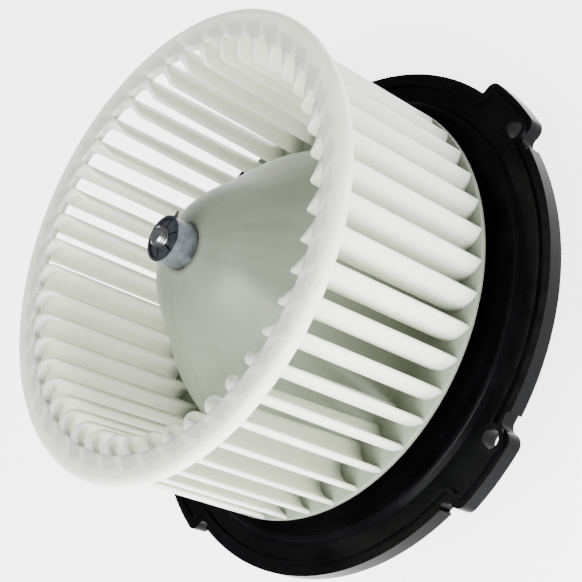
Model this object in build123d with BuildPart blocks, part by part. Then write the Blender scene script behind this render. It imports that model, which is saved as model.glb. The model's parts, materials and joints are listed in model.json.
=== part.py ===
from build123d import *
import math
import os

# Blower motor assembly of a vehicle heater: squirrel-cage wheel on a permanent-magnet motor in a
# moulded flange. Millimetres. The origin is on the shaft axis, in the plane on which the flange
# seats. +Z runs along the shaft towards the wheel's air inlet, and the long side of the
# rectangle of bolt holes runs along X.

os.makedirs("parts", exist_ok=True)

# ---- driving dimensions: wheel -------------------------------------------------------------
WHEEL_R = 75.0              # outer radius of the front ring
BLADE_TIP_R = 71.0          # radius of the blades' outer edges
WHEEL_FRONT_Z = 73.4        # front of the ring
WHEEL_HEIGHT = 63.7         # front of the ring to back of the back plate
WHEEL_BACK_Z = WHEEL_FRONT_Z - WHEEL_HEIGHT
BACK_PLATE_T = 2.0
RING_T = 3.0                # thickness of the ring between the blades
RING_INNER_R = 66.5
BLADE_COUNT = 44
BLADE_PHASE = 7.2           # angle of one blade's inner edge
BLADE_T = 1.5
BLADE_INNER_R = 58.9        # inner edge just behind the front ring
BLADE_INNER_BACK_R = 57.6   # inner edge at the back plate
CAMBER_START_R = 57.0       # the camber is an arc that starts here
CAMBER_BEND_R = 8.07
BLADE_ROOT_LEAN = -47.0     # camber direction from radial, at its start
BLADE_TIP_LEAN = 69.0       # and at the outer edge
WEB_WIDTH = 5.0             # web between each blade and the front ring
TOOTH_DEPTH = 4.5           # the blades curve outwards this far behind the ring's front
CONE_RADII = (7.3, 20.0, 32.0, 44.0, 54.5)
CONE_WALL = 3.0             # hub cone, measured along Z
HUB_RIB_T = 1.2
COLLAR_DEPTH = 7.8          # top of the cone, behind the ring's front
HUB_R = 6.3
HUB_BOTTOM_Z = 50.0
HUB_TOP_Z = 71.6

CAP_R = 7.3                 # steel cap pressed over the hub
CAP_INNER_R = 6.5
CAP_BOTTOM_Z = WHEEL_FRONT_Z - COLLAR_DEPTH
CLIP_T = 0.4
CLIP_EAR_R = 9.3
CLIP_EAR_ANGLES = (69.5, 154.5)

# ---- driving dimensions: shaft and motor ---------------------------------------------------
SHAFT_R = 4.0
STUB_R = 3.0                # wheel end of the shaft, M6
STUB_BOTTOM_Z = 49.0
SHAFT_TIP_Z = 76.4
SHAFT_REAR_Z = -30.2
THREAD_PITCH = 1.0
THREAD_DEPTH = 0.5
THREAD_TURNS = 7
D_FLAT_X = 2.4
BEARING_R = 6.5
BEARING_LENGTH = 7.0
RUNNING_CLEARANCE = 0.05

CAN_R = 29.0
CAN_WALL = 1.6
CAN_INNER_R = CAN_R - CAN_WALL
CAN_FRONT_Z = 40.0
CAN_REAR_Z = -24.0
END_PLATE_T = 2.0
BEARING_BOSS_R = 8.2

MAGNET_INNER_R = 22.4
MAGNET_SPAN = 130.0
MAGNET_BOTTOM_Z = -2.0
MAGNET_LENGTH = 36.0

CORE_R = 21.5
CORE_BOTTOM_Z = 1.0
CORE_LENGTH = 30.0
SLOT_COUNT = 12
SLOT_MOUTH = 2.2
SLOT_R = 2.9
SLOT_CENTRE_R = 16.2
INSULATOR_T = 1.0
COMMUTATOR_R = 11.5
COMMUTATOR_HUB_R = 8.6
COMMUTATOR_BOTTOM_Z = -20.0
COMMUTATOR_LENGTH = 14.0
BRUSH_GAP = 0.3
BRUSH_LENGTH = 8.5
BRUSH_WIDTH = 5.0
BRUSH_HEIGHT = 7.0
BRUSH_Z = -13.0
HOLDER_WALL = 0.8
BRUSH_PLATE_Z = -21.5
BRUSH_PLATE_T = 2.0

# ---- driving dimensions: flange and rear cover ---------------------------------------------
FLANGE_R = 84.9
SKIRT_R = 86.1
EAR_R = 91.2
EAR_START = 32.3            # each ear's two sides, from the X axis
EAR_END = 50.0
EAR_CORNER_R = 3.5
EAR_ROOT_R = 2.5
BOLT_SPACING_X = 139.0
BOLT_SPACING_Y = 98.0
BOLT_HOLE_R = 3.1
BOLT_BOSS_R = 4.7
SKIRT_GAP_START = 29.0      # the skirt stops either side of each ear
SKIRT_GAP_END = 52.6
PLATE_FRONT_Z = -1.0
PLATE_T = 2.8
PLATE_BACK_Z = PLATE_FRONT_Z - PLATE_T
SKIRT_BOTTOM_Z = -6.2
RIM_WALL = 2.2
BEAD_R = 82.7
BEAD_W = 1.1
RIDGE_R = 74.3
RIDGE_TOP_Z = 0.9
SHROUD_INNER_R = 31.6
SHROUD_OUTER_R = 34.2
SHROUD_TOP_Z = 26.0
MOTOR_LUG_R = 41.0          # circle of the three motor screws
MOTOR_LUG_ANGLES = (90.0, 210.0, 330.0)
COVER_LUG_R = 55.0          # circle of the three cover screws
COVER_LUG_ANGLES = (30.0, 150.0, 270.0)
COVER_R = 50.5
COVER_WALL = 2.2
COVER_BOTTOM_Z = -42.0
RIB_COUNT = 24
RIB_T = 1.4
RIB_INNER_R = 61.0
RIB_BOTTOM_Z = SKIRT_BOTTOM_Z + 0.5

# ---- driving dimensions: connector ---------------------------------------------------------
SOCKET_Z = -31.0
SOCKET_WIDTH = 18.0
SOCKET_HEIGHT = 13.0
SOCKET_WALL = 1.6
SOCKET_MOUTH_Y = -66.0
SOCKET_FLOOR_Y = -52.0
SOCKET_BACK_Y = -45.0
TERMINAL_X = 4.5
TERMINAL_WIDTH = 5.0
TERMINAL_T = 0.8
TERMINAL_ROOT_Y = -20.0
TERMINAL_TIP_Y = -62.0


def polar(radius, angle):
    """A point in the XY plane from its radius and its angle in degrees."""
    return (radius * math.cos(math.radians(angle)), radius * math.sin(math.radians(angle)))


def finish(part, label):
    """Label a finished piece and write its STEP file."""
    part.label = label
    export_step(part, f"parts/{label}.step")


def tube(outer_r, inner_r, bottom_z, top_z):
    """Add a plain tube or, with an inner radius of 0, a disc to the current part."""
    with BuildSketch(Plane.XY.offset(bottom_z)) as ring:
        Circle(outer_r)
        if inner_r > 0:
            Circle(inner_r, mode=Mode.SUBTRACT)
    extrude(ring.sketch, amount=top_z - bottom_z)


def round_cut(radius, bottom_z, top_z):
    """Cut a round hole on the axis of the current part."""
    with BuildSketch(Plane.XY.offset(bottom_z)) as disc:
        Circle(radius)
    extrude(disc.sketch, amount=top_z - bottom_z, mode=Mode.SUBTRACT)


# ---- blower wheel --------------------------------------------------------------------------
def camber_point(share):
    """A point of the blade's camber, an arc that turns from the root lean to the tip lean."""
    root = math.radians(BLADE_ROOT_LEAN)
    lean = root + math.radians(BLADE_TIP_LEAN - BLADE_ROOT_LEAN) * share
    return (
        CAMBER_START_R + CAMBER_BEND_R * (math.sin(lean) - math.sin(root)),
        CAMBER_BEND_R * (math.cos(root) - math.cos(lean)),
    )


def hub_profile(drop):
    """Points of the hub cone's outer surface, moved down by drop, from collar to back plate."""
    depths = (COLLAR_DEPTH, 13.8, 27.2, 41.2, 60.4)
    return [(radius, WHEEL_FRONT_Z - depth - drop) for radius, depth in zip(CONE_RADII, depths)]


PLATE_TOP_Z = WHEEL_BACK_Z + BACK_PLATE_T
RING_BACK_Z = WHEEL_FRONT_Z - RING_T
RING_LIP_Z = WHEEL_FRONT_Z - 0.3
TOOTH_BACK_Z = WHEEL_FRONT_Z - TOOTH_DEPTH

with BuildSketch() as blade_section:
    with BuildLine():
        ThreePointArc(camber_point(0), camber_point(0.5), camber_point(1))
    trace(line_width=BLADE_T)

with BuildSketch() as tooth_section:
    # curved web that widens the blade into the front ring, on its hollow side
    with BuildLine():
        web_start = camber_point(0.256)
        web_middle = camber_point(0.497)
        web_end = camber_point(0.683)
        web_corner = (web_end[0], web_end[1] + WEB_WIDTH)
        Polyline(web_start, web_middle, web_end, web_corner)
        ThreePointArc(web_corner, (web_middle[0], web_middle[1] + WEB_WIDTH / 3), web_start)
    make_face()

# The wheel is one moulding, kept as three nodes that meet without overlapping: ring, blades, hub.
with BuildPart() as wheel_blades:
    with BuildSketch(Plane.XY.offset(WHEEL_BACK_Z)):
        with PolarLocations(0, BLADE_COUNT, start_angle=BLADE_PHASE):
            add(blade_section.sketch)
    extrude(amount=WHEEL_HEIGHT)
    with BuildSketch(Plane.XY.offset(RING_BACK_Z + 0.2)):
        with PolarLocations(0, BLADE_COUNT, start_angle=BLADE_PHASE):
            add(tooth_section.sketch)
    extrude(amount=RING_T)
    # envelope of revolution, between the back plate and the ring
    with BuildSketch(Plane.XZ):
        with BuildLine():
            Polyline(
                (BLADE_INNER_BACK_R, PLATE_TOP_Z),
                (BLADE_TIP_R, PLATE_TOP_Z),
                (BLADE_TIP_R, RING_BACK_Z - 1.46),
                (BLADE_TIP_R - 0.6, RING_BACK_Z),
                (RING_INNER_R, RING_BACK_Z),
                (RING_INNER_R, RING_LIP_Z),
                (RING_INNER_R - 1.5, RING_LIP_Z - 0.1),
            )
            Spline(
                (RING_INNER_R - 1.5, RING_LIP_Z - 0.1),
                (BLADE_INNER_R + 2.0, WHEEL_FRONT_Z - 1.9),
                (BLADE_INNER_R, TOOTH_BACK_Z),
            )
            Line((BLADE_INNER_R, TOOTH_BACK_Z), (BLADE_INNER_BACK_R, PLATE_TOP_Z))
        make_face()
    revolve(axis=Axis.Z, mode=Mode.INTERSECT)
finish(wheel_blades.part, "wheel_blades")

with BuildPart() as wheel_ring:
    with BuildSketch(Plane.XZ):
        with BuildLine():
            Polyline(
                (RING_INNER_R, RING_BACK_Z),
                (RING_INNER_R, RING_LIP_Z),
                (WHEEL_R - 1.6, WHEEL_FRONT_Z),
                (WHEEL_R, WHEEL_FRONT_Z - 1.1),
                (WHEEL_R, WHEEL_FRONT_Z - 3.2),
                (WHEEL_R - 0.8, WHEEL_FRONT_Z - 4.2),
                (BLADE_TIP_R + 0.1, RING_BACK_Z - 1.7),
                (BLADE_TIP_R - 0.6, RING_BACK_Z),
                close=True,
            )
        make_face()
    revolve(axis=Axis.Z)
finish(wheel_ring.part, "wheel_ring")

with BuildPart() as wheel_hub:
    # back plate and hub cone
    with BuildSketch(Plane.XZ):
        with BuildLine():
            outer = Spline(*hub_profile(0.0))
            inner = Spline(*hub_profile(CONE_WALL))
            Polyline(
                outer @ 1,
                (CONE_RADII[-1] + 1.5, PLATE_TOP_Z),
                (BLADE_TIP_R, PLATE_TOP_Z),
                (BLADE_TIP_R, WHEEL_BACK_Z),
                (CONE_RADII[-1] + 0.1, WHEEL_BACK_Z),
                inner @ 1,
            )
            Line(outer @ 0, inner @ 0)
        make_face()
    revolve(axis=Axis.Z)
    # collar that the cap stands on, and the hub inside the cap
    tube(CONE_RADII[0], 0, CAP_BOTTOM_Z - 0.8, CAP_BOTTOM_Z)
    tube(HUB_R, 0, HUB_BOTTOM_Z, HUB_TOP_Z)
    # stiffening ribs under the cone
    for angle in range(0, 360, 45):
        with BuildSketch(Plane.XZ.rotated((0, 0, angle))):
            with BuildLine():
                Polyline(
                    (HUB_R - 0.8, HUB_BOTTOM_Z + 3.0),
                    (HUB_R - 0.8, HUB_BOTTOM_Z + 14.0),
                    (14.0, 60.0),
                    (27.0, 48.2),
                    (23.0, 49.0),
                    close=True,
                )
            make_face()
        extrude(amount=HUB_RIB_T / 2, both=True)
    # shaft bore with its flat
    with BuildSketch(Plane.XY.offset(HUB_BOTTOM_Z)):
        Circle(STUB_R)
        with Locations((D_FLAT_X + STUB_R, 0)):
            Rectangle(2 * STUB_R, 3 * STUB_R, mode=Mode.SUBTRACT)
    extrude(amount=HUB_TOP_Z - HUB_BOTTOM_Z, mode=Mode.SUBTRACT)
finish(wheel_hub.part, "wheel_hub")

# ---- retainer cap and clip on the wheel's hub ----------------------------------------------
with BuildPart() as retainer_cap:
    tube(CAP_R, CAP_INNER_R, CAP_BOTTOM_Z, WHEEL_FRONT_Z)
    # dished front, split into tabs that bite on the thread
    with BuildSketch(Plane.XZ):
        with BuildLine():
            Polyline(
                (STUB_R, WHEEL_FRONT_Z - 0.4),
                (CAP_INNER_R, WHEEL_FRONT_Z - 1.2),
                (CAP_INNER_R, WHEEL_FRONT_Z - 0.5),
                (STUB_R, WHEEL_FRONT_Z + 0.3),
                close=True,
            )
        make_face()
    revolve(axis=Axis.Z)
    with BuildSketch(Plane.XY.offset(WHEEL_FRONT_Z - 1.3)):
        with PolarLocations(4.6, 6, start_angle=10):
            Rectangle(3.4, 0.5)
    extrude(amount=2.0, mode=Mode.SUBTRACT)
    # notches for the clip's ears
    for angle in CLIP_EAR_ANGLES:
        with BuildSketch(Plane.XY.offset(HUB_TOP_Z)):
            with Locations(polar(CAP_R - 0.2, angle)):
                Rectangle(2.0, 2.4, rotation=angle)
        extrude(amount=CLIP_T, mode=Mode.SUBTRACT)
finish(retainer_cap.part, "retainer_cap")

with BuildPart() as retaining_clip:
    tube(CAP_INNER_R, STUB_R, HUB_TOP_Z, HUB_TOP_Z + CLIP_T)
    for angle in CLIP_EAR_ANGLES:
        with BuildSketch(Plane.XY.offset(HUB_TOP_Z)):
            with BuildLine(Plane.XY.rotated((0, 0, angle))):
                Polyline(
                    (CAP_INNER_R - 0.7, -1.1),
                    (CAP_R, -1.0),
                    (CLIP_EAR_R, -0.3),
                    (CLIP_EAR_R, 0.3),
                    (CAP_R, 1.0),
                    (CAP_INNER_R - 0.7, 1.1),
                    close=True,
                )
            make_face()
        extrude(amount=CLIP_T)
finish(retaining_clip.part, "retaining_clip")

# ---- shaft ---------------------------------------------------------------------------------
THREAD_BOTTOM_Z = SHAFT_TIP_Z - 0.6 - THREAD_TURNS * THREAD_PITCH
with BuildPart() as motor_shaft:
    with BuildSketch(Plane.XZ):
        with BuildLine():
            thread = [(STUB_R, THREAD_BOTTOM_Z)]
            for turn in range(THREAD_TURNS):
                crest_z = THREAD_BOTTOM_Z + turn * THREAD_PITCH
                if crest_z > WHEEL_FRONT_Z:
                    thread.append((STUB_R, crest_z + 0.1))
                    thread.append((STUB_R - THREAD_DEPTH, crest_z + THREAD_PITCH / 2))
                    thread.append((STUB_R, crest_z + THREAD_PITCH - 0.1))
            Polyline(
                (0, SHAFT_REAR_Z),
                (SHAFT_R - 0.5, SHAFT_REAR_Z),
                (SHAFT_R, SHAFT_REAR_Z + 0.5),
                (SHAFT_R, STUB_BOTTOM_Z),
                (STUB_R, STUB_BOTTOM_Z),
                *thread,
                (STUB_R, SHAFT_TIP_Z - 0.6),
                (STUB_R - 0.6, SHAFT_TIP_Z),
                (0, SHAFT_TIP_Z),
                close=True,
            )
        make_face()
    revolve(axis=Axis.Z)
    # flat that drives the wheel
    with BuildSketch(Plane.XY.offset(STUB_BOTTOM_Z)):
        with Locations((D_FLAT_X + STUB_R, 0)):
            Rectangle(2 * STUB_R, 3 * STUB_R)
    extrude(amount=HUB_TOP_Z - STUB_BOTTOM_Z, mode=Mode.SUBTRACT)
finish(motor_shaft.part, "motor_shaft")

# ---- armature ------------------------------------------------------------------------------
CORE_TOP_Z = CORE_BOTTOM_Z + CORE_LENGTH


def armature_slice(bottom_z, height, outer_r):
    """Add one slotted disc of the armature."""
    with BuildSketch(Plane.XY.offset(bottom_z)) as lamination:
        Circle(outer_r)
        Circle(SHAFT_R, mode=Mode.SUBTRACT)
        with PolarLocations(SLOT_CENTRE_R, SLOT_COUNT):
            Circle(SLOT_R, mode=Mode.SUBTRACT)
        with PolarLocations((SLOT_CENTRE_R + CORE_R + 1) / 2, SLOT_COUNT):
            Rectangle(CORE_R + 1 - SLOT_CENTRE_R, SLOT_MOUTH, mode=Mode.SUBTRACT)
    extrude(lamination.sketch, amount=height)


with BuildPart() as armature_core:
    armature_slice(CORE_BOTTOM_Z, CORE_LENGTH, CORE_R)
finish(armature_core.part, "armature_core")

with BuildPart() as front_insulator:
    armature_slice(CORE_TOP_Z, INSULATOR_T, CORE_R - 0.5)
finish(front_insulator.part, "front_insulator")

with BuildPart() as rear_insulator:
    armature_slice(CORE_BOTTOM_Z - INSULATOR_T, INSULATOR_T, CORE_R - 0.5)
finish(rear_insulator.part, "rear_insulator")

WINDING_TOP_Z = CORE_TOP_Z + INSULATOR_T
WINDING_BOTTOM_Z = CORE_BOTTOM_Z - INSULATOR_T
END_TURN_HEIGHT = 4.6
with BuildPart() as armature_winding:
    with BuildSketch(Plane.XY.offset(WINDING_BOTTOM_Z)):
        with PolarLocations(SLOT_CENTRE_R, SLOT_COUNT):
            Circle(SLOT_R - 0.15)
    extrude(amount=WINDING_TOP_Z - WINDING_BOTTOM_Z)
    # rounded bundles of end turns at each end
    for base_z, direction in ((WINDING_TOP_Z, 1), (WINDING_BOTTOM_Z, -1)):
        with BuildSketch(Plane.XZ):
            with BuildLine():
                top_z = base_z + direction * END_TURN_HEIGHT
                Polyline((9.6, top_z - direction * 2.0), (9.6, base_z), (20.0, base_z), (20.0, top_z - direction * 2.0))
                ThreePointArc((20.0, top_z - direction * 2.0), (14.8, top_z), (9.6, top_z - direction * 2.0))
            make_face()
        revolve(axis=Axis.Z)
finish(armature_winding.part, "armature_winding")

COMMUTATOR_TOP_Z = COMMUTATOR_BOTTOM_Z + COMMUTATOR_LENGTH
with BuildPart() as commutator_hub:
    tube(COMMUTATOR_HUB_R, SHAFT_R, COMMUTATOR_BOTTOM_Z - 0.6, COMMUTATOR_TOP_Z + 0.8)
finish(commutator_hub.part, "commutator_hub")

with BuildPart() as commutator_bars:
    tube(COMMUTATOR_R, COMMUTATOR_HUB_R, COMMUTATOR_BOTTOM_Z, COMMUTATOR_TOP_Z)
    # tang of each bar, where the winding is hooked
    with BuildSketch(Plane.XY.offset(COMMUTATOR_TOP_Z - 1.2)):
        with PolarLocations(COMMUTATOR_R + 0.5, SLOT_COUNT, start_angle=180 / SLOT_COUNT):
            Rectangle(2.6, 1.6)
    extrude(amount=1.2)
    # insulating gaps between the bars
    with BuildSketch(Plane.XY.offset(COMMUTATOR_BOTTOM_Z)):
        with PolarLocations(COMMUTATOR_R, SLOT_COUNT):
            Rectangle(3 * (COMMUTATOR_R - COMMUTATOR_HUB_R), 0.5)
    extrude(amount=COMMUTATOR_LENGTH, mode=Mode.SUBTRACT)
finish(commutator_bars.part, "commutator_bars")

FRONT_BEARING_BOTTOM_Z = 37.4
REAR_BEARING_BOTTOM_Z = CAN_REAR_Z - BEARING_LENGTH
WASHER_T = 1.2
with BuildPart() as front_thrust_washer:
    tube(6.5, SHAFT_R, 34.4, 34.4 + WASHER_T)
finish(front_thrust_washer.part, "front_thrust_washer")

with BuildPart() as rear_thrust_washer:
    tube(6.5, SHAFT_R, COMMUTATOR_BOTTOM_Z - 2.2, COMMUTATOR_BOTTOM_Z - 1.0)
finish(rear_thrust_washer.part, "rear_thrust_washer")

# ---- motor case ----------------------------------------------------------------------------
BOSS_TOP_Z = FRONT_BEARING_BOTTOM_Z + BEARING_LENGTH + 1.0
with BuildPart() as motor_can:
    tube(CAN_R, CAN_INNER_R, CAN_REAR_Z, CAN_FRONT_Z)
    fillet(motor_can.edges().filter_by(GeomType.CIRCLE).group_by(Axis.Z)[-1].sort_by(SortBy.RADIUS)[-1], 1.2)
    tube(CAN_INNER_R + 0.2, 0, CAN_FRONT_Z - CAN_WALL, CAN_FRONT_Z)
    tube(BEARING_BOSS_R, 0, CAN_FRONT_Z, BOSS_TOP_Z)
    round_cut(BEARING_R, CAN_FRONT_Z - CAN_WALL, BOSS_TOP_Z - 1.0)
    round_cut(SHAFT_R + 1.0, BOSS_TOP_Z - 1.0, BOSS_TOP_Z)
    # cooling windows in the front of the can
    with BuildSketch(Plane.XY.offset(CAN_FRONT_Z - CAN_WALL)):
        with PolarLocations(17.0, 4, start_angle=45):
            SlotOverall(11.0, 5.0, rotation=90)
    extrude(amount=CAN_WALL, mode=Mode.SUBTRACT)
finish(motor_can.part, "motor_can")

END_PLATE_BOTTOM_Z = CAN_REAR_Z - END_PLATE_T
with BuildPart() as end_plate:
    tube(CAN_R, 0, END_PLATE_BOTTOM_Z, CAN_REAR_Z)
    tube(BEARING_BOSS_R, 0, REAR_BEARING_BOTTOM_Z - 1.2, END_PLATE_BOTTOM_Z)
    round_cut(BEARING_R, REAR_BEARING_BOTTOM_Z, CAN_REAR_Z)
    # window for the terminals
    with BuildSketch(Plane.XY.offset(END_PLATE_BOTTOM_Z)):
        with Locations((0, TERMINAL_ROOT_Y)):
            Rectangle(2 * TERMINAL_X + TERMINAL_WIDTH + 3.0, 4.0)
    extrude(amount=END_PLATE_T, mode=Mode.SUBTRACT)
finish(end_plate.part, "end_plate")


def bearing(label, bottom_z):
    """A sintered sleeve bearing with the shaft's running clearance."""
    with BuildPart() as sleeve:
        tube(BEARING_R, SHAFT_R + RUNNING_CLEARANCE, bottom_z, bottom_z + BEARING_LENGTH)
    finish(sleeve.part, label)


bearing("front_bearing", FRONT_BEARING_BOTTOM_Z)
bearing("rear_bearing", REAR_BEARING_BOTTOM_Z)


def bearing_retainer(label, bottom_z):
    """A star washer that holds a bearing in its boss."""
    with BuildPart() as star:
        tube(BEARING_BOSS_R + 0.6, SHAFT_R + 0.9, bottom_z, bottom_z + 0.5)
        with BuildSketch(Plane.XY.offset(bottom_z)):
            with PolarLocations(SHAFT_R + 1.4, 6):
                Rectangle(2.4, 0.8)
        extrude(amount=0.5, mode=Mode.SUBTRACT)
    finish(star.part, label)


bearing_retainer("front_bearing_retainer", FRONT_BEARING_BOTTOM_Z - 0.5)
bearing_retainer("rear_bearing_retainer", CAN_REAR_Z)


def arc_segment(inner_r, outer_r, span, middle, bottom_z, height):
    """Add a segment of a tube, centred on an angle."""
    half = span / 2
    with BuildSketch(Plane.XY.offset(bottom_z)) as segment:
        with BuildLine():
            Line(polar(inner_r, middle - half), polar(outer_r, middle - half))
            ThreePointArc(polar(outer_r, middle - half), polar(outer_r, middle), polar(outer_r, middle + half))
            Line(polar(outer_r, middle + half), polar(inner_r, middle + half))
            ThreePointArc(polar(inner_r, middle + half), polar(inner_r, middle), polar(inner_r, middle - half))
        make_face()
    extrude(segment.sketch, amount=height)


for number, middle in ((1, 0.0), (2, 180.0)):
    with BuildPart() as magnet:
        arc_segment(MAGNET_INNER_R, CAN_INNER_R, MAGNET_SPAN, middle, MAGNET_BOTTOM_Z, MAGNET_LENGTH)
    finish(magnet.part, f"magnet_{number}")
    with BuildPart() as magnet_clip:
        arc_segment(CAN_INNER_R - 0.8, CAN_INNER_R, 44.0, middle + 90.0, MAGNET_BOTTOM_Z + 2, MAGNET_LENGTH - 4)
        arc_segment(CAN_INNER_R - 3.6, CAN_INNER_R, 2.0, middle + 69.0, MAGNET_BOTTOM_Z + 2, MAGNET_LENGTH - 4)
        arc_segment(CAN_INNER_R - 3.6, CAN_INNER_R, 2.0, middle + 111.0, MAGNET_BOTTOM_Z + 2, MAGNET_LENGTH - 4)
    finish(magnet_clip.part, f"magnet_clip_{number}")

# ---- brush gear ----------------------------------------------------------------------------
BRUSH_PLATE_TOP_Z = BRUSH_PLATE_Z + BRUSH_PLATE_T
BRUSH_INNER_R = COMMUTATOR_R + BRUSH_GAP
BRUSH_OUTER_R = BRUSH_INNER_R + BRUSH_LENGTH
HOLDER_START_R = 14.0
HOLDER_END_R = 26.0
with BuildPart() as brush_plate:
    tube(CAN_INNER_R, 13.5, BRUSH_PLATE_Z, BRUSH_PLATE_TOP_Z)
    with BuildSketch(Plane.XY.offset(BRUSH_PLATE_Z)):
        with Locations((TERMINAL_X, TERMINAL_ROOT_Y), (-TERMINAL_X, TERMINAL_ROOT_Y)):
            Rectangle(TERMINAL_WIDTH, TERMINAL_T)
    extrude(amount=BRUSH_PLATE_T, mode=Mode.SUBTRACT)
finish(brush_plate.part, "brush_plate")

for number, side in ((1, 1), (2, -1)):
    with BuildPart() as brush_holder:
        with Locations((side * (HOLDER_START_R + HOLDER_END_R) / 2, 0, BRUSH_Z)):
            Box(HOLDER_END_R - HOLDER_START_R, BRUSH_WIDTH + 1.8, 2 * (BRUSH_Z - BRUSH_PLATE_TOP_Z))
        with Locations((side * (HOLDER_START_R + HOLDER_END_R - HOLDER_WALL) / 2, 0, BRUSH_Z)):
            Box(HOLDER_END_R - HOLDER_START_R - HOLDER_WALL, BRUSH_WIDTH + 0.2, BRUSH_HEIGHT + 0.2, mode=Mode.SUBTRACT)
    finish(brush_holder.part, f"brush_holder_{number}")
    with BuildPart() as brush:
        with Locations((side * (BRUSH_OUTER_R + COMMUTATOR_HUB_R) / 2, 0, BRUSH_Z)):
            Box(BRUSH_OUTER_R - COMMUTATOR_HUB_R, BRUSH_WIDTH, BRUSH_HEIGHT)
        round_cut(BRUSH_INNER_R, BRUSH_Z - BRUSH_HEIGHT, BRUSH_Z + BRUSH_HEIGHT)
    finish(brush.part, f"brush_{number}")
    # coil spring behind the brush, as a stack of wire rings joined by a straight run
    SPRING_COILS = 5
    SPRING_WIRE_R = 0.25
    SPRING_R = 1.9
    spring_start = BRUSH_OUTER_R + SPRING_WIRE_R
    spring_pitch = (HOLDER_END_R - HOLDER_WALL - SPRING_WIRE_R - spring_start) / SPRING_COILS
    with BuildPart() as brush_spring:
        with BuildLine():
            spring_helix = Helix(
                pitch=spring_pitch,
                height=spring_pitch * SPRING_COILS,
                radius=SPRING_R,
                center=(side * spring_start, 0, BRUSH_Z),
                direction=(side, 0, 0),
            )
        with BuildSketch(Plane(spring_helix @ 0, z_dir=spring_helix % 0)):
            Circle(SPRING_WIRE_R)
        sweep(is_frenet=True)
    finish(brush_spring.part, f"brush_spring_{number}")
    # choke coil: ferrite rod in a wire winding
    with BuildPart() as choke_coil:
        choke_plane = Plane((-8.0, side * 20.0, BRUSH_PLATE_TOP_Z + 3.6), z_dir=(1, 0, 0))
        with BuildSketch(choke_plane):
            Circle(2.4)
        extrude(amount=16.0)
        for turn in range(7):
            with BuildSketch(choke_plane.offset(1.6 + turn * 1.9)):
                Circle(3.6)
            extrude(amount=1.5)
    finish(choke_coil.part, f"choke_coil_{number}")
    with BuildPart() as terminal:
        with BuildSketch(Plane.YZ.offset(side * TERMINAL_X - TERMINAL_WIDTH / 2)):
            with BuildLine():
                Polyline(
                    (TERMINAL_ROOT_Y + TERMINAL_T / 2, BRUSH_PLATE_TOP_Z),
                    (TERMINAL_ROOT_Y - TERMINAL_T / 2, BRUSH_PLATE_TOP_Z),
                    (TERMINAL_ROOT_Y - TERMINAL_T / 2, SOCKET_Z + TERMINAL_T / 2),
                    (TERMINAL_TIP_Y + 0.8, SOCKET_Z + TERMINAL_T / 2),
                    (TERMINAL_TIP_Y, SOCKET_Z),
                    (TERMINAL_TIP_Y + 0.8, SOCKET_Z - TERMINAL_T / 2),
                    (TERMINAL_ROOT_Y + TERMINAL_T / 2, SOCKET_Z - TERMINAL_T / 2),
                    close=True,
                )
            make_face()
        extrude(amount=TERMINAL_WIDTH)
    finish(terminal.part, f"terminal_{number}")

# ---- motor mounting ------------------------------------------------------------------------
LUG_TOP_Z = -11.4
LUG_T = 1.6
LUG_BOTTOM_Z = LUG_TOP_Z - LUG_T
LUG_RADIUS = 6.0
LUG_HOLE_R = 4.5
GROMMET_R = 6.0
GROMMET_TOP_Z = -9.0
GROMMET_BOTTOM_Z = -15.4
SLEEVE_R = 2.9
SLEEVE_BORE_R = 2.3
MOTOR_SCREW_R = 2.0
MOTOR_SCREW_HEAD_R = 4.2
MOTOR_SCREW_TIP_Z = -3.0
MOTOR_LUGS = [polar(MOTOR_LUG_R, angle) for angle in MOTOR_LUG_ANGLES]

with BuildPart() as motor_bracket:
    with BuildSketch(Plane.XY.offset(LUG_BOTTOM_Z)):
        Circle(CAN_R + 4.0)
        for angle in MOTOR_LUG_ANGLES:
            with Locations(polar(MOTOR_LUG_R, angle)):
                Circle(LUG_RADIUS)
            with Locations(polar(MOTOR_LUG_R - 5.0, angle)):
                Rectangle(10.0, 2 * LUG_RADIUS, rotation=angle)
        Circle(CAN_R, mode=Mode.SUBTRACT)
        with Locations(*MOTOR_LUGS):
            Circle(LUG_HOLE_R, mode=Mode.SUBTRACT)
    extrude(amount=LUG_T)
finish(motor_bracket.part, "motor_bracket")

for number, lug in enumerate(MOTOR_LUGS, start=1):
    with BuildPart() as grommet:
        with Locations((lug[0], lug[1], GROMMET_BOTTOM_Z)):
            spool = (Align.CENTER, Align.CENTER, Align.MIN)
            Cylinder(GROMMET_R, LUG_BOTTOM_Z - GROMMET_BOTTOM_Z, align=spool)
            Cylinder(LUG_HOLE_R, GROMMET_TOP_Z - GROMMET_BOTTOM_Z, align=spool)
        with Locations((lug[0], lug[1], LUG_TOP_Z)):
            Cylinder(GROMMET_R, GROMMET_TOP_Z - LUG_TOP_Z, align=spool)
        with Locations((lug[0], lug[1], GROMMET_BOTTOM_Z)):
            Cylinder(SLEEVE_R, GROMMET_TOP_Z - GROMMET_BOTTOM_Z, align=spool, mode=Mode.SUBTRACT)
    finish(grommet.part, f"vibration_grommet_{number}")

with BuildPart() as grommet_sleeves:
    with BuildSketch(Plane.XY.offset(GROMMET_BOTTOM_Z)):
        with Locations(*MOTOR_LUGS):
            Circle(SLEEVE_R)
            Circle(SLEEVE_BORE_R, mode=Mode.SUBTRACT)
    extrude(amount=GROMMET_TOP_Z - GROMMET_BOTTOM_Z)
finish(grommet_sleeves.part, "grommet_sleeves")


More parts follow.
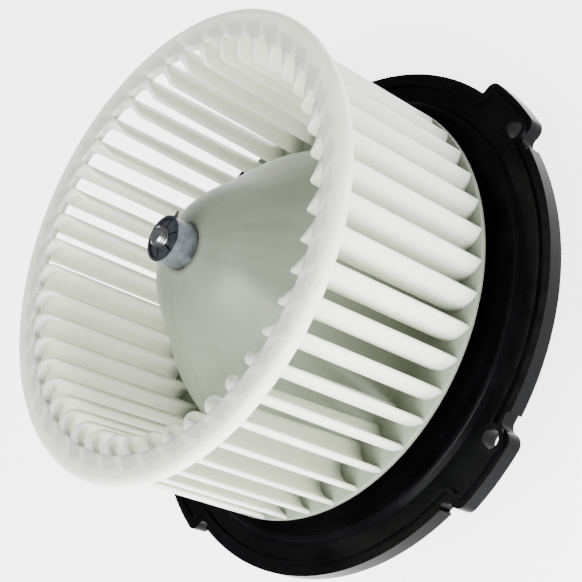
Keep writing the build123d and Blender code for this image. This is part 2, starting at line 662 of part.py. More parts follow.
def screws(label, places, shank_r, head_r, head_z, tip_z):
    """A set of pan-head screws that point up, as separate solids in one node."""
    with BuildPart() as screw_set:
        with BuildSketch(Plane.XY.offset(head_z)):
            with Locations(*places):
                Circle(shank_r)
        extrude(amount=tip_z - head_z)
        with BuildSketch(Plane.XY.offset(head_z)):
            with Locations(*places):
                Circle(head_r)
        extrude(amount=-0.7 * head_r)
        fillet(screw_set.edges().filter_by(GeomType.CIRCLE).group_by(Axis.Z)[0], 0.25 * head_r)
        with BuildSketch(Plane.XY.offset(head_z - 0.7 * head_r)):
            with Locations(*places):
                Rectangle(head_r * 1.2, head_r * 0.22)
                Rectangle(head_r * 0.22, head_r * 1.2)
        extrude(amount=0.35 * head_r, mode=Mode.SUBTRACT)
    finish(screw_set.part, label)


screws("motor_screws", MOTOR_LUGS, MOTOR_SCREW_R, MOTOR_SCREW_HEAD_R, GROMMET_BOTTOM_Z, MOTOR_SCREW_TIP_Z)

# ---- flange --------------------------------------------------------------------------------
BOLT_HOLES = [(x * BOLT_SPACING_X / 2, y * BOLT_SPACING_Y / 2) for x in (1, -1) for y in (1, -1)]
COVER_LUGS = [polar(COVER_LUG_R, angle) for angle in COVER_LUG_ANGLES]
COVER_LUG_RADIUS = 5.0
COVER_LUG_T = 4.0
COVER_SCREW_R = 1.6
COVER_SCREW_HEAD_R = 3.4
COVER_SCREW_TIP_Z = 1.0
COVER_BOSS_R = 4.4
COVER_BOSS_TOP_Z = 2.6
MOTOR_BOSS_R = 5.0


def sector(outer_r, start, end):
    """Add a pie slice of the current sketch's plane, from the axis outwards."""
    with BuildLine() as border:
        Line((0, 0), polar(outer_r, start))
        ThreePointArc(polar(outer_r, start), polar(outer_r, (start + end) / 2), polar(outer_r, end))
        Line(polar(outer_r, end), (0, 0))
    make_face(border.edges())


def ear_outline(start, inset):
    """One ear with its sides moved inwards, reaching far enough in to join the disc."""
    outer_r = EAR_R - inset
    inner_r = EAR_R / 2
    outer_shift = math.degrees(math.asin(inset / outer_r))
    inner_shift = math.degrees(math.asin(inset / inner_r))
    end = start + EAR_END - EAR_START
    with BuildLine() as border:
        Polyline(
            polar(outer_r, end - outer_shift),
            polar(inner_r, end - inner_shift),
            polar(inner_r, start + inner_shift),
            polar(outer_r, start + outer_shift),
        )
        ThreePointArc(
            polar(outer_r, start + outer_shift),
            polar(outer_r, (start + end) / 2),
            polar(outer_r, end - outer_shift),
        )
    make_face(border.edges())


def flange_outline(inset):
    """The flange's outline with its four ears, moved inwards."""
    with BuildSketch() as outline:
        for start in (EAR_START, 180 - EAR_END, 180 + EAR_START, 360 - EAR_END):
            ear_outline(start, inset)
        tips = outline.vertices().filter_by(lambda v: math.hypot(v.X, v.Y) > FLANGE_R - inset)
        fillet(tips, EAR_CORNER_R - inset / 2)
        Circle(FLANGE_R - inset)
        roots = outline.vertices().filter_by(
            lambda v: abs(math.hypot(v.X, v.Y) - FLANGE_R + inset) < 0.01
        )
        fillet(roots, EAR_ROOT_R + inset / 2)
    return outline.sketch


def wall_outline():
    """The flange's outline with the skirt between its ears."""
    with BuildSketch() as wall:
        add(flange_outline(0))
        for start, end in (
            (-SKIRT_GAP_START, SKIRT_GAP_START),
            (SKIRT_GAP_END, 180 - SKIRT_GAP_END),
            (180 - SKIRT_GAP_START, 180 + SKIRT_GAP_START),
            (180 + SKIRT_GAP_END, 360 - SKIRT_GAP_END),
        ):
            sector(SKIRT_R, start, end)
    return wall.sketch


WALL = wall_outline()
HOLLOW = flange_outline(RIM_WALL)
BEAD_OUTSIDE = flange_outline(FLANGE_R - BEAD_R)
BEAD_INSIDE = flange_outline(FLANGE_R - BEAD_R + BEAD_W)
with BuildPart() as motor_flange:
    # outer wall and front plate
    with BuildSketch(Plane.XY.offset(SKIRT_BOTTOM_Z)):
        add(WALL)
    extrude(amount=PLATE_FRONT_Z - SKIRT_BOTTOM_Z)
    with BuildSketch(Plane.XY.offset(SKIRT_BOTTOM_Z)):
        add(HOLLOW)
    extrude(amount=PLATE_BACK_Z - SKIRT_BOTTOM_Z, mode=Mode.SUBTRACT)
    # bead that follows the outline of the ears
    with BuildSketch(Plane.XY.offset(PLATE_FRONT_Z - 0.3)):
        add(BEAD_OUTSIDE)
        add(BEAD_INSIDE, mode=Mode.SUBTRACT)
    extrude(amount=0.3 - PLATE_FRONT_Z)
    # rounded ridge around the wheel
    with BuildSketch(Plane.XZ):
        with BuildLine():
            Polyline(
                (RIDGE_R + 1.1, RIDGE_TOP_Z - 0.45),
                (RIDGE_R + 2.6, PLATE_FRONT_Z - 0.5),
                (RIDGE_R - 6.5, PLATE_FRONT_Z - 0.5),
                (RIDGE_R - 1.2, RIDGE_TOP_Z - 0.28),
            )
            ThreePointArc(
                (RIDGE_R - 1.2, RIDGE_TOP_Z - 0.28),
                (RIDGE_R, RIDGE_TOP_Z),
                (RIDGE_R + 1.1, RIDGE_TOP_Z - 0.45),
            )
        make_face()
    revolve(axis=Axis.Z)
    round_cut(SHROUD_INNER_R, PLATE_BACK_Z, PLATE_FRONT_Z)
    # bosses of the bolt holes, the motor screws and the cover screws
    with BuildSketch(Plane.XY.offset(SKIRT_BOTTOM_Z)):
        with Locations(*BOLT_HOLES):
            Circle(BOLT_BOSS_R)
    extrude(amount=-SKIRT_BOTTOM_Z)
    with BuildSketch(Plane.XY.offset(GROMMET_TOP_Z)):
        with Locations(*MOTOR_LUGS):
            Circle(MOTOR_BOSS_R)
    extrude(amount=PLATE_BACK_Z + 1.0 - GROMMET_TOP_Z)
    with BuildSketch(Plane.XY.offset(PLATE_BACK_Z + 1.0)):
        with Locations(*COVER_LUGS):
            Circle(COVER_BOSS_R)
    extrude(amount=COVER_BOSS_TOP_Z - PLATE_BACK_Z - 1.0)
    # stiffening ribs on the back, with a ring that joins them
    with BuildSketch(Plane.XY.offset(RIB_BOTTOM_Z)):
        with PolarLocations((RIB_INNER_R + FLANGE_R - 1.0) / 2, RIB_COUNT, start_angle=180 / RIB_COUNT):
            Rectangle(FLANGE_R - 1.0 - RIB_INNER_R, RIB_T)
        Circle(RIB_INNER_R + RIB_T)
        Circle(RIB_INNER_R, mode=Mode.SUBTRACT)
    extrude(amount=PLATE_BACK_Z + 0.5 - RIB_BOTTOM_Z)
    # holes
    with BuildSketch(Plane.XY.offset(SKIRT_BOTTOM_Z)):
        with Locations(*BOLT_HOLES):
            Circle(BOLT_HOLE_R)
    extrude(amount=-SKIRT_BOTTOM_Z, mode=Mode.SUBTRACT)
    with BuildSketch(Plane.XY.offset(GROMMET_TOP_Z)):
        with Locations(*MOTOR_LUGS):
            Circle(MOTOR_SCREW_R)
    extrude(amount=MOTOR_SCREW_TIP_Z - GROMMET_TOP_Z, mode=Mode.SUBTRACT)
    with BuildSketch(Plane.XY.offset(PLATE_BACK_Z)):
        with Locations(*COVER_LUGS):
            Circle(COVER_SCREW_R)
    extrude(amount=COVER_SCREW_TIP_Z - PLATE_BACK_Z, mode=Mode.SUBTRACT)
finish(motor_flange.part, "motor_flange")

# The shroud belongs to the flange's moulding and is kept as its own node, on top of the plate.
with BuildPart() as motor_shroud:
    with BuildSketch(Plane.XZ):
        with BuildLine():
            Polyline(
                (SHROUD_INNER_R, PLATE_FRONT_Z),
                (SHROUD_OUTER_R + 5.0, PLATE_FRONT_Z),
                (SHROUD_OUTER_R, PLATE_FRONT_Z + 5.0),
                (SHROUD_OUTER_R, SHROUD_TOP_Z - 0.8),
                (SHROUD_OUTER_R - 0.8, SHROUD_TOP_Z),
                (SHROUD_INNER_R, SHROUD_TOP_Z),
                close=True,
            )
        make_face()
    revolve(axis=Axis.Z)
finish(motor_shroud.part, "motor_shroud")

# ---- rear cover and connector --------------------------------------------------------------
SOCKET_OUTER_WIDTH = SOCKET_WIDTH + 2 * SOCKET_WALL
SOCKET_OUTER_HEIGHT = SOCKET_HEIGHT + 2 * SOCKET_WALL
with BuildPart() as rear_cover:
    tube(COVER_R, 0, COVER_BOTTOM_Z, PLATE_BACK_Z)
    fillet(rear_cover.edges().filter_by(GeomType.CIRCLE).group_by(Axis.Z)[0], 3.0)
    with BuildSketch(Plane.XY.offset(PLATE_BACK_Z - COVER_LUG_T)):
        for angle in COVER_LUG_ANGLES:
            with Locations(polar(COVER_LUG_R, angle)):
                Circle(COVER_LUG_RADIUS)
            with Locations(polar(COVER_LUG_R - 4.0, angle)):
                Rectangle(8.0, 2 * COVER_LUG_RADIUS, rotation=angle)
    extrude(amount=COVER_LUG_T)
    round_cut(COVER_R - COVER_WALL, COVER_BOTTOM_Z + COVER_WALL, PLATE_BACK_Z)
    with BuildSketch(Plane.XY.offset(PLATE_BACK_Z - COVER_LUG_T)):
        with Locations(*COVER_LUGS):
            Circle(COVER_SCREW_R + 0.2)
    extrude(amount=COVER_LUG_T, mode=Mode.SUBTRACT)
    # window for the connector
    with Locations((0, -COVER_R + 1.5, SOCKET_Z)):
        Box(SOCKET_OUTER_WIDTH, 8.0, SOCKET_OUTER_HEIGHT, mode=Mode.SUBTRACT)
    # cooling air slots in the bottom
    with BuildSketch(Plane.XY.offset(COVER_BOTTOM_Z)):
        with PolarLocations(24.0, 12, start_angle=15):
            SlotOverall(20.0, 3.6)
    extrude(amount=COVER_WALL, mode=Mode.SUBTRACT)
finish(rear_cover.part, "rear_cover")

screws("cover_screws", COVER_LUGS, COVER_SCREW_R, COVER_SCREW_HEAD_R, PLATE_BACK_Z - COVER_LUG_T, COVER_SCREW_TIP_Z)

with BuildPart() as connector_housing:
    with Locations((0, (SOCKET_MOUTH_Y + SOCKET_BACK_Y) / 2, SOCKET_Z)):
        Box(SOCKET_OUTER_WIDTH, SOCKET_BACK_Y - SOCKET_MOUTH_Y, SOCKET_OUTER_HEIGHT)
    fillet(connector_housing.edges().filter_by(Axis.Y), 1.2)
    with Locations((0, (SOCKET_MOUTH_Y + SOCKET_FLOOR_Y) / 2, SOCKET_Z)):
        Box(SOCKET_WIDTH, SOCKET_FLOOR_Y - SOCKET_MOUTH_Y, SOCKET_HEIGHT, mode=Mode.SUBTRACT)
    with Locations((TERMINAL_X, SOCKET_BACK_Y, SOCKET_Z), (-TERMINAL_X, SOCKET_BACK_Y, SOCKET_Z)):
        Box(TERMINAL_WIDTH, 4 * (SOCKET_BACK_Y - SOCKET_FLOOR_Y), TERMINAL_T, mode=Mode.SUBTRACT)
    # catch for the plug's latch
    with Locations((0, SOCKET_MOUTH_Y + 4.0, SOCKET_Z + SOCKET_OUTER_HEIGHT / 2 + 0.6)):
        Box(6.0, 3.0, 1.4)
finish(connector_housing.part, "connector_housing")
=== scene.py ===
import bisect
import json
import math

import bmesh
import bpy
from mathutils import Matrix, Vector


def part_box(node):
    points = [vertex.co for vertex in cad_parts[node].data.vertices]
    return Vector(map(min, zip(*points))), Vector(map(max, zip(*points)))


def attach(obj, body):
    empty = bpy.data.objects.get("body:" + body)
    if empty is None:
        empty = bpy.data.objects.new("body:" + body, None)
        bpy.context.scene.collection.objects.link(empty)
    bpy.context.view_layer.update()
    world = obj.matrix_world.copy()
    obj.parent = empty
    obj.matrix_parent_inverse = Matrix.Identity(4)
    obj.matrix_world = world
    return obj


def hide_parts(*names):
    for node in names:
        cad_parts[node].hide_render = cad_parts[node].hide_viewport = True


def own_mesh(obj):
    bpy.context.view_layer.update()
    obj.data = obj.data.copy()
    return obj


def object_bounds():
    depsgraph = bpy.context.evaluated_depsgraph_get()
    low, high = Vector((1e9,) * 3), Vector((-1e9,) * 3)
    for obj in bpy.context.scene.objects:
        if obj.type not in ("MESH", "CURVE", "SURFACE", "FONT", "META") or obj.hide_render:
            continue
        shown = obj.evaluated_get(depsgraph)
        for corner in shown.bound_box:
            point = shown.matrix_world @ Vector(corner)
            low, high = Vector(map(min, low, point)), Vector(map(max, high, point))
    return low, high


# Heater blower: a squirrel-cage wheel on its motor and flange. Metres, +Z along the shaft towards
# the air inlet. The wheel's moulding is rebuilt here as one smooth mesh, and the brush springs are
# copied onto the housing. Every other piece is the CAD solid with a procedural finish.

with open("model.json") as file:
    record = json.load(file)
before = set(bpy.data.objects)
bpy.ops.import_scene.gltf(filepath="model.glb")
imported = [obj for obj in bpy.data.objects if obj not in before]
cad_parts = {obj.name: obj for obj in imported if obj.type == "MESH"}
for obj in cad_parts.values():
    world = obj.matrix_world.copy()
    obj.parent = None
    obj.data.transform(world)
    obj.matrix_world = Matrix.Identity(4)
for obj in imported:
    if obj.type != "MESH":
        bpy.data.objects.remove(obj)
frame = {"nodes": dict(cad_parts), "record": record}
cad_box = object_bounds()
nodes = frame["nodes"]

MM = 0.001
ring_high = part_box("wheel_ring")[1]

# ---- wheel dimensions ----------------------------------------------------------------------
RING_R = ring_high.x
FRONT_Z = ring_high.z
BACK_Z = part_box("wheel_hub")[0].z
PLATE_TOP_Z = BACK_Z + 2.0 * MM
RING_BACK_Z = FRONT_Z - 3.0 * MM
RING_INNER_R = 66.5 * MM
RING_EDGE_R = 0.7 * MM
BLADE_COUNT = 44
BLADE_PHASE = 7.2                # degrees
BLADE_TIP_R = 71.0 * MM
BLADE_INNER_R = 58.9 * MM        # inner edge just behind the front ring
BLADE_INNER_BACK_R = 57.6 * MM   # inner edge at the back plate
CAMBER_START_R = 57.0 * MM       # the camber is an arc that starts here
CAMBER_BEND_R = 8.07 * MM
BLADE_ROOT_LEAN = -47.0          # degrees from radial, at the camber's start
BLADE_TIP_LEAN = 69.0
BLADE_T = 1.5 * MM
BLADE_OVERLAP = 0.5 * MM         # how far the blades sink into the back plate
BLADE_STEPS = 16                 # points along each face of a blade
EDGE_ANGLES = (0.6, 1.2, 1.9, 2.5)   # points round each edge of a blade, in radians
CAMBER_SAMPLES = 200             # along the camber
CAMBER_EXTRA = 20                # more of them past its end
WEB_WIDTH = 5.0 * MM             # web that joins a blade to the ring, on its hollow side
WEB_START = 0.256                # where it starts and ends along the camber
WEB_END = 0.683
WEB_BULGE = 1.7                  # power that gives the web its hollow side
WEB_BLEND_BELOW = 1.4 * MM       # the web grows from here below the ring's back
WEB_BLEND_HEIGHT = 1.6 * MM
TOOTH_DEPTH = 4.5 * MM           # how far behind the ring's front the blades are full depth
TOOTH_TOP = 0.4 * MM             # the teeth start this far behind the ring's front
TOOTH_TOP_R = 65.0 * MM
TAPER_STEPS = 8                  # sections of a blade up to its teeth
TOOTH_STEPS = 14                 # sections through the curve into the ring
HUB_R = 6.3 * MM
HUB_BORE_R = 3.0 * MM
HUB_EDGE_R = 0.2 * MM
HUB_LOW_Z = 50.0 * MM
HUB_TOP_Z = 71.6 * MM
COLLAR_BORE_R = 3.5 * MM
COLLAR_LOW_Z = 64.8 * MM
COLLAR_TOP_Z = 65.6 * MM
CONE_TOP_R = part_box("retainer_cap")[1].x
CONE_WALL = 3.0 * MM
PLATE_INNER_R = 56.0 * MM
PLATE_BACK_INNER_R = 54.6 * MM
PLATE_EDGE = 0.3 * MM            # bevel round the plate's rim
CONE_STEPS = 8                   # points along each stretch of the cone's curve
RING_SEGMENTS = 352
CONE_SEGMENTS = 240
HUB_SEGMENTS = 96

# ---- camera --------------------------------------------------------------------------------
VIEW_AZIMUTH = -25.5
VIEW_ELEVATION = 38.44
VIEW_ROLL = -66.12
VIEW_TARGET = Vector((0.0002, 0.0011, 0.0206))
VIEW_DISTANCE = 0.4542
VIEW_LENS = 87.6
SENSOR_WIDTH = 36.0


# ---- materials -----------------------------------------------------------------------------
class Shader:
    """A material with a Principled shader, and short ways to add the nodes that feed it."""

    def __init__(self, name):
        self.material = bpy.data.materials.new(name)
        self.material.use_nodes = True
        self.tree = self.material.node_tree
        self.shader = self.tree.nodes["Principled BSDF"]
        self.place = self.add("ShaderNodeTexCoord").outputs["Object"]

    def add(self, kind, **values):
        node = self.tree.nodes.new(kind)
        for key, value in values.items():
            if key in node.inputs:
                node.inputs[key].default_value = value
            else:
                setattr(node, key, value)
        return node

    def link(self, source, target):
        self.tree.links.new(source, target)

    def noise(self, scale, detail=3.0, place=None):
        node = self.add("ShaderNodeTexNoise", Scale=scale, Detail=detail)
        self.link(place or self.place, node.inputs["Vector"])
        return node.outputs["Fac"]

    def ramp(self, source, *stops):
        node = self.add("ShaderNodeValToRGB")
        elements = node.color_ramp.elements
        while len(elements) < len(stops):
            elements.new(1.0)
        for element, (position, colour) in zip(elements, stops):
            element.position = position
            element.color = (*colour, 1.0)
        self.link(source, node.inputs["Fac"])
        return node.outputs["Color"]

    def mapped(self, source, low, high, start=0.3, end=0.7):
        node = self.add("ShaderNodeMapRange")
        for key, value in (("From Min", start), ("From Max", end), ("To Min", low), ("To Max", high)):
            node.inputs[key].default_value = value
        self.link(source, node.inputs["Value"])
        return node.outputs["Result"]

    def bump(self, source, distance, strength=0.5):
        node = self.add("ShaderNodeBump", Strength=strength, Distance=distance)
        self.link(source, node.inputs["Height"])
        self.link(node.outputs["Normal"], self.shader.inputs["Normal"])

    def set(self, **values):
        for key, value in values.items():
            self.shader.inputs[key.replace("_", " ")].default_value = value


def mottled(name, dark, light, rough, scale=90.0, grain=900.0, depth=0.00003, metallic=0.0, **values):
    """A finish that drifts between two colours and two roughnesses, with a fine grain."""
    made = Shader(name)
    drift = made.noise(scale)
    made.link(made.ramp(drift, (0.32, dark), (0.68, light)), made.shader.inputs["Base Color"])
    made.link(made.mapped(drift, *rough), made.shader.inputs["Roughness"])
    made.bump(made.noise(grain, detail=2.0), depth)
    made.set(Metallic=metallic, **values)
    return made.material


def polypropylene(name, dark, light, glow):
    """Translucent moulded plastic, with faint flow marks that run out from the hub."""
    made = Shader(name)
    flat = made.add("ShaderNodeVectorMath", operation="MULTIPLY")
    flat.inputs[1].default_value = (1.0, 1.0, 0.0)
    made.link(made.place, flat.inputs[0])
    spoke = made.add("ShaderNodeVectorMath", operation="NORMALIZE")
    made.link(flat.outputs["Vector"], spoke.inputs[0])
    flow = made.noise(7.0, detail=4.0, place=spoke.outputs["Vector"])
    cloud = made.noise(55.0, detail=2.0)
    both = made.add("ShaderNodeMath", operation="ADD")
    made.link(flow, both.inputs[0])
    made.link(cloud, both.inputs[1])
    tone = made.mapped(both.outputs["Value"], 0.0, 1.0, start=0.75, end=1.25)
    made.link(made.ramp(tone, (0.0, dark), (1.0, light)), made.shader.inputs["Base Color"])
    made.link(made.mapped(cloud, 0.3, 0.42), made.shader.inputs["Roughness"])
    made.bump(made.noise(420.0, detail=2.0), 0.00006, strength=0.35)
    made.set(IOR=1.49, Specular_IOR_Level=0.35, Subsurface_Weight=glow, Subsurface_Scale=0.006)
    made.shader.inputs["Subsurface Radius"].default_value = (1.0, 1.0, 0.8)
    return made.material


BLADE_PLASTIC = polypropylene("blade_polypropylene", (0.76, 0.8, 0.66), (0.82, 0.855, 0.73), 0.4)
# The cone, back plate, hub and collar are the same plastic as the blades; this copy's much darker colour is
# painted shade, for the shade beneath the ring and the dark motor seen through the thin wall.
SHADED_CONE_PLASTIC = polypropylene("cone_polypropylene_painted_shade", (0.15, 0.172, 0.13), (0.2, 0.222, 0.172), 0.1)
FINISHES = {
    "natural_polypropylene": BLADE_PLASTIC,
    "black_plastic": mottled(
        "black_gloss_plastic", (0.0015, 0.0015, 0.0018), (0.003, 0.003, 0.0035), (0.2, 0.3), 60.0, 700.0,
        Specular_IOR_Level=0.04,
    ),
    "connector_plastic": mottled(
        "black_satin_plastic", (0.014, 0.014, 0.015), (0.03, 0.03, 0.032), (0.38, 0.5), 120.0, 1200.0
    ),
    "cap_steel": mottled(
        "plated_steel", (0.08, 0.092, 0.11), (0.15, 0.165, 0.19), (0.24, 0.4), 420.0, 1500.0, metallic=1.0
    ),
    "shaft_steel": mottled(
        "ground_steel", (0.2, 0.2, 0.21), (0.34, 0.34, 0.35), (0.18, 0.3), 300.0, 2000.0, metallic=1.0
    ),
    "spring_steel": mottled(
        "blued_steel", (0.1, 0.1, 0.11), (0.2, 0.2, 0.22), (0.25, 0.4), 300.0, 1600.0, metallic=1.0
    ),
    "screw_steel": mottled(
        "zinc_screw", (0.5, 0.49, 0.44), (0.68, 0.67, 0.62), (0.22, 0.36), 320.0, 1600.0, metallic=1.0
    ),
    "zinc_steel": mottled(
        "zinc_drawn_steel", (0.5, 0.5, 0.49), (0.66, 0.66, 0.65), (0.28, 0.44), 70.0, 900.0, metallic=1.0
    ),
    "core_steel": mottled(
        "lamination_steel", (0.16, 0.16, 0.17), (0.34, 0.34, 0.35), (0.35, 0.55), 240.0, 1300.0, metallic=1.0
    ),
    "copper": mottled(
        "copper_metal", (0.46, 0.17, 0.07), (0.72, 0.34, 0.18), (0.22, 0.4), 260.0, 1300.0, metallic=1.0
    ),
    "brass": mottled(
        "brass_metal", (0.56, 0.4, 0.15), (0.78, 0.6, 0.28), (0.2, 0.36), 260.0, 1300.0, metallic=1.0
    ),
    "bronze": mottled(
        "sintered_bronze", (0.34, 0.21, 0.1), (0.52, 0.34, 0.18), (0.35, 0.55), 420.0, 1800.0, metallic=1.0
    ),
    "ferrite": mottled("ferrite_grey", (0.03, 0.03, 0.032), (0.07, 0.07, 0.072), (0.5, 0.7), 200.0, 900.0),
    "phenolic": mottled("phenolic_brown", (0.09, 0.045, 0.02), (0.16, 0.085, 0.04), (0.35, 0.5), 220.0),
    "rubber": mottled("black_rubber", (0.012, 0.012, 0.012), (0.028, 0.028, 0.028), (0.6, 0.8), 240.0),
    "washer_nylon": mottled("washer_nylon_white", (0.6, 0.58, 0.5), (0.72, 0.7, 0.62), (0.35, 0.5), 240.0),
    "carbon": mottled("carbon_brush", (0.02, 0.02, 0.02), (0.05, 0.05, 0.05), (0.45, 0.65), 320.0),
}

for subpart in frame["record"]["subparts"]:
    shown = nodes[subpart["node"]]
    if not shown.material_slots:
        shown.data.materials.append(None)
    for slot in shown.material_slots:
        slot.material = FINISHES[subpart["material_slot"]]


# ---- mesh helpers --------------------------------------------------------------------------
MERGE_DISTANCE = 0.0005 * MM


def piece(name, mesh, body, finish):
    """A smooth-shaded object made from a bmesh, which rides on a body."""
    mesh_data = bpy.data.meshes.new(name)
    bmesh.ops.remove_doubles(mesh, verts=mesh.verts, dist=MERGE_DISTANCE)
    bmesh.ops.recalc_face_normals(mesh, faces=mesh.faces)
    mesh.to_mesh(mesh_data)
    mesh.free()
    for polygon in mesh_data.polygons:
        polygon.use_smooth = True
    made = bpy.data.objects.new(name, mesh_data)
    bpy.context.collection.objects.link(made)
    for material in finish:
        mesh_data.materials.append(material)
    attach(made, body)
    return made


def rounded(profile, radius, steps=4):
    """A closed profile with each corner replaced by a small curve."""
    points = []
    count = len(profile)
    for i, here in enumerate(profile):
        here = Vector(here)
        before = Vector(profile[i - 1])
        after = Vector(profile[(i + 1) % count])
        reach = min(radius, (before - here).length * 0.45, (after - here).length * 0.45)
        start = here + (before - here).normalized() * reach
        end = here + (after - here).normalized() * reach
        for k in range(steps + 1):
            t = k / steps
            points.append(start * (1 - t) ** 2 + here * (2 * t * (1 - t)) + end * t * t)
    return points


def smooth_curve(points, steps):
    """A curve through the points, by Catmull-Rom."""
    points = [Vector(p) for p in points]
    padded = [points[0] * 2 - points[1], *points, points[-1] * 2 - points[-2]]
    curve = []
    for i in range(len(points) - 1):
        a, b, c, d = padded[i:i + 4]
        for k in range(steps):
            t = k / steps
            square = (2 * a - 5 * b + 4 * c - d) * t**2
            cube = (3 * b - a - 3 * c + d) * t**3
            curve.append(0.5 * (2 * b + (c - a) * t + square + cube))
    curve.append(points[-1])
    return curve


def lathe(mesh, profile, segments, material=0):
    """Turn a closed profile of (radius, height) points about Z."""
    rings = []
    for radius, height in profile:
        ring = []
        for k in range(segments):
            angle = 2 * math.pi * k / segments
            ring.append(mesh.verts.new((radius * math.cos(angle), radius * math.sin(angle), height)))
        rings.append(ring)
    for i, one in enumerate(rings):
        other = rings[(i + 1) % len(rings)]
        for k in range(segments):
            m = (k + 1) % segments
            mesh.faces.new((one[k], one[m], other[m], other[k])).material_index = material


def loft(mesh, loops, material=0):
    """Skin closed loops of equal length and close both ends."""
    rows = [[mesh.verts.new(point) for point in loop] for loop in loops]
    for one, other in zip(rows, rows[1:]):
        for k in range(len(one)):
            m = (k + 1) % len(one)
            mesh.faces.new((one[k], one[m], other[m], other[k])).material_index = material
    mesh.faces.new(rows[0]).material_index = material
    mesh.faces.new(list(reversed(rows[-1]))).material_index = material


def smoothstep(value):
    value = min(max(value, 0.0), 1.0)
    return value * value * (3 - 2 * value)


# ---- wheel ---------------------------------------------------------------------------------
def camber(share):
    """A point of the blade's camber and the direction across it."""
    root = math.radians(BLADE_ROOT_LEAN)
    lean = root + math.radians(BLADE_TIP_LEAN - BLADE_ROOT_LEAN) * share
    point = Vector((
        CAMBER_START_R + CAMBER_BEND_R * (math.sin(lean) - math.sin(root)),
        CAMBER_BEND_R * (math.cos(root) - math.cos(lean)),
    ))
    return point, Vector((-math.sin(lean), math.cos(lean)))


CAMBER_SHARES = [k / CAMBER_SAMPLES for k in range(CAMBER_SAMPLES + CAMBER_EXTRA + 1)]
CAMBER_RADII = [camber(share)[0].length for share in CAMBER_SHARES]


def share_at(radius):
    """Where along the camber a radius is reached."""
    k = min(max(bisect.bisect(CAMBER_RADII, radius), 1), len(CAMBER_RADII) - 1)
    low, high = CAMBER_RADII[k - 1], CAMBER_RADII[k]
    return CAMBER_SHARES[k - 1] + (radius - low) / (high - low) / CAMBER_SAMPLES


def stations():
    """Heights and inner radii of the blade's sections: a slow taper, then a curve into the ring."""
    low = PLATE_TOP_Z - BLADE_OVERLAP
    full = FRONT_Z - TOOTH_DEPTH
    rows = []
    for k in range(TAPER_STEPS):
        share = k / TAPER_STEPS
        inner_r = BLADE_INNER_BACK_R + (BLADE_INNER_R - BLADE_INNER_BACK_R) * share
        rows.append((low + (full - low) * share, inner_r))
    for k in range(TOOTH_STEPS + 1):
        turn = math.pi / 2 * k / TOOTH_STEPS
        z = full + (TOOTH_DEPTH - TOOTH_TOP) * math.sin(turn)
        rows.append((z, BLADE_INNER_R + (TOOTH_TOP_R - BLADE_INNER_R) * (1 - math.cos(turn))))
    return rows


def blade_loop(z, inner_r):
    """The blade's outline at one height, with rounded edges."""
    half = BLADE_T / 2
    start = share_at(inner_r + half)
    end = share_at(BLADE_TIP_R - half)
    web = WEB_WIDTH * smoothstep((z - (RING_BACK_Z - WEB_BLEND_BELOW)) / WEB_BLEND_HEIGHT)
    concave, convex = [], []
    for k in range(BLADE_STEPS + 1):
        share = start + (end - start) * k / BLADE_STEPS
        point, across = camber(share)
        filled = min(max((share - WEB_START) / (WEB_END - WEB_START), 0.0), 1.0)
        concave.append(point + across * half + Vector((0, web * filled**WEB_BULGE)))
        convex.append(point - across * half)
    inner, inner_across = camber(start)
    outer, outer_across = camber(end)
    inner_along = Vector((-inner_across.y, inner_across.x))
    outer_along = Vector((outer_across.y, -outer_across.x))
    inner_cap = []
    outer_cap = []
    for angle in EDGE_ANGLES:
        inner_cap.append(inner - (inner_across * math.cos(angle) - inner_along * math.sin(angle)) * half)
        outer_cap.append(outer + (outer_across * math.cos(angle) + outer_along * math.sin(angle)) * half)
    loop = inner_cap + concave + outer_cap + list(reversed(convex))
    return [Vector((p.x, p.y, z)) for p in loop]


wheel = bmesh.new()
template = [blade_loop(z, inner_r) for z, inner_r in stations()]
for number in range(BLADE_COUNT):
    turned = Matrix.Rotation(math.radians(BLADE_PHASE + 360 * number / BLADE_COUNT), 3, "Z")
    loft(wheel, [[turned @ point for point in loop] for loop in template])

RING_PROFILE = (
    (RING_INNER_R - 0.6 * MM, RING_BACK_Z),
    (RING_INNER_R - 0.6 * MM, FRONT_Z - 0.38 * MM),
    (RING_INNER_R + 0.8 * MM, FRONT_Z - 0.2 * MM),
    (RING_R - 1.6 * MM, FRONT_Z),
    (RING_R, FRONT_Z - 1.1 * MM),
    (RING_R, FRONT_Z - 3.2 * MM),
    (RING_R - 0.8 * MM, FRONT_Z - 4.2 * MM),
    (BLADE_TIP_R + 0.1 * MM, FRONT_Z - 4.7 * MM),
    (BLADE_TIP_R - 0.6 * MM, RING_BACK_Z),
)
lathe(wheel, rounded(RING_PROFILE, RING_EDGE_R), RING_SEGMENTS)

CONE_CURVE = (
    (7.3 * MM, FRONT_Z - 7.8 * MM),
    (20.0 * MM, FRONT_Z - 13.8 * MM),
    (32.0 * MM, FRONT_Z - 27.2 * MM),
    (44.0 * MM, FRONT_Z - 41.2 * MM),
    (54.5 * MM, FRONT_Z - 60.4 * MM),
)
outside = smooth_curve(CONE_CURVE, CONE_STEPS)
inside = [point - Vector((0, CONE_WALL)) for point in reversed(outside)]
plate = [
    Vector((PLATE_INNER_R, PLATE_TOP_Z)),
    Vector((BLADE_TIP_R - PLATE_EDGE, PLATE_TOP_Z)),
    Vector((BLADE_TIP_R, PLATE_TOP_Z - PLATE_EDGE)),
    Vector((BLADE_TIP_R, BACK_Z + PLATE_EDGE)),
    Vector((BLADE_TIP_R - PLATE_EDGE, BACK_Z)),
    Vector((PLATE_BACK_INNER_R, BACK_Z)),
]
# The cone, plate, hub and collar take the second material, whose darker colour is painted shade.
lathe(wheel, outside + plate + inside, CONE_SEGMENTS, material=1)
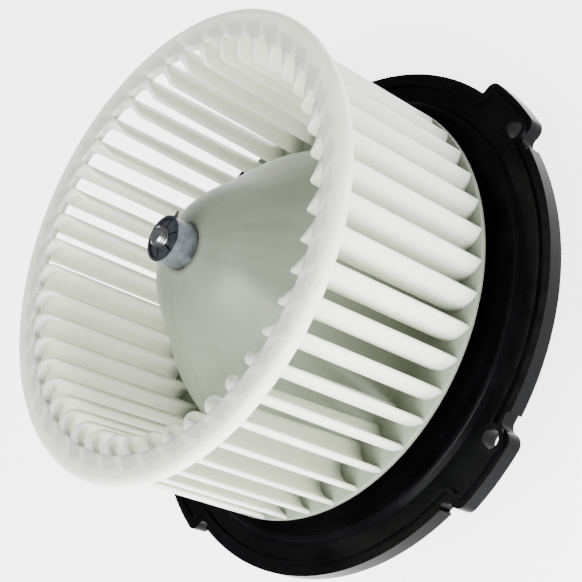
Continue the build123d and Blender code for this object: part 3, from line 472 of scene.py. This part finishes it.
for profile in (
    (
        (HUB_R, HUB_LOW_Z),
        (HUB_R, HUB_TOP_Z),
        (HUB_BORE_R, HUB_TOP_Z),
        (HUB_BORE_R, HUB_LOW_Z),
    ),
    (
        (COLLAR_BORE_R, COLLAR_LOW_Z),
        (CONE_TOP_R, COLLAR_LOW_Z),
        (CONE_TOP_R, COLLAR_TOP_Z),
        (COLLAR_BORE_R, COLLAR_TOP_Z),
    ),
):
    lathe(wheel, rounded(profile, HUB_EDGE_R, 2), HUB_SEGMENTS, material=1)
wheel_piece = piece("wheel_moulding", wheel, "rotor", (BLADE_PLASTIC, SHADED_CONE_PLASTIC))
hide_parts("wheel_hub", "wheel_blades", "wheel_ring")

# ---- brush springs, copied onto the housing ------------------------------------------------
for number, away in ((1, 1.0), (2, -1.0)):
    cad_spring = nodes[f"brush_spring_{number}"]
    spring_low, spring_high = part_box(f"brush_spring_{number}")
    coil_data = cad_spring.data.copy()
    coil_data.transform(cad_spring.matrix_world)
    coil = bpy.data.objects.new(f"brush_coil_{number}", coil_data)
    bpy.context.collection.objects.link(coil)
    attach(coil, "housing")
    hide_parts(f"brush_spring_{number}")
    fixed_end = (spring_high if away > 0 else spring_low).copy()
    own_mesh(coil)

# ---- floor, lights and camera --------------------------------------------------------------
FLOOR_SIZE = 6.0                  # half of the floor's side
FLOOR_DROP = 2.0 * MM             # the floor lies this far below the lowest piece
FLOOR_GLOW = 3.6
WORLD_GLOW = 0.4
floor_z = cad_box[0][2] - FLOOR_DROP
floor_mesh = bmesh.new()
floor_mesh.faces.new([
    floor_mesh.verts.new((x * FLOOR_SIZE, y * FLOOR_SIZE, floor_z))
    for x, y in ((-1, -1), (1, -1), (1, 1), (-1, 1))
])
floor_data = bpy.data.meshes.new("floor")
floor_mesh.to_mesh(floor_data)
floor_mesh.free()
floor = bpy.data.objects.new("floor", floor_data)
bpy.context.collection.objects.link(floor)
floor_finish = Shader("pale_floor")
floor_finish.link(
    floor_finish.ramp(floor_finish.noise(3.0), (0.3, (0.9, 0.9, 0.9)), (0.7, (0.93, 0.93, 0.93))),
    floor_finish.shader.inputs["Base Color"],
)
floor_finish.set(Roughness=0.9)
floor_finish.shader.inputs["Emission Color"].default_value = (1.0, 1.0, 1.0, 1.0)
floor_finish.shader.inputs["Emission Strength"].default_value = FLOOR_GLOW
floor_data.materials.append(floor_finish.material)

world = bpy.data.worlds.new("studio")
bpy.context.scene.world = world
world.use_nodes = True
world.node_tree.nodes["Background"].inputs["Color"].default_value = (1.0, 1.0, 1.0, 1.0)
world.node_tree.nodes["Background"].inputs["Strength"].default_value = WORLD_GLOW

azimuth = math.radians(VIEW_AZIMUTH)
elevation = math.radians(VIEW_ELEVATION)
towards = Vector((
    math.cos(elevation) * math.cos(azimuth),
    math.cos(elevation) * math.sin(azimuth),
    math.sin(elevation),
))
level = Vector((-math.sin(azimuth), math.cos(azimuth), 0.0))
upright = towards.cross(level)
roll = math.radians(VIEW_ROLL)
right = level * math.cos(roll) + upright * math.sin(roll)
up = towards.cross(right)


def softbox(name, side, lift, reach, size, power):
    """A square area light that faces the wheel, placed by the camera's own directions."""
    data = bpy.data.lights.new(name, "AREA")
    data.shape = "SQUARE"
    data.size = size
    data.energy = power
    lamp = bpy.data.objects.new(name, data)
    bpy.context.collection.objects.link(lamp)
    lamp.location = VIEW_TARGET + right * side + up * lift + towards * reach
    lamp.rotation_euler = (lamp.location - VIEW_TARGET).to_track_quat("Z", "Y").to_euler()


softbox("key", 0.1, -0.7, 0.55, 0.5, 18.0)
softbox("fill", -0.45, -0.2, 0.85, 0.6, 20.0)

camera_data = bpy.data.cameras.new("camera")
camera_data.lens = VIEW_LENS
camera_data.sensor_width = SENSOR_WIDTH
camera = bpy.data.objects.new("camera", camera_data)
bpy.context.collection.objects.link(camera)
camera.matrix_world = Matrix((
    (right.x, up.x, towards.x, 0.0),
    (right.y, up.y, towards.y, 0.0),
    (right.z, up.z, towards.z, 0.0),
    (0.0, 0.0, 0.0, 1.0),
))
camera.location = VIEW_TARGET + towards * VIEW_DISTANCE
bpy.context.scene.camera = camera
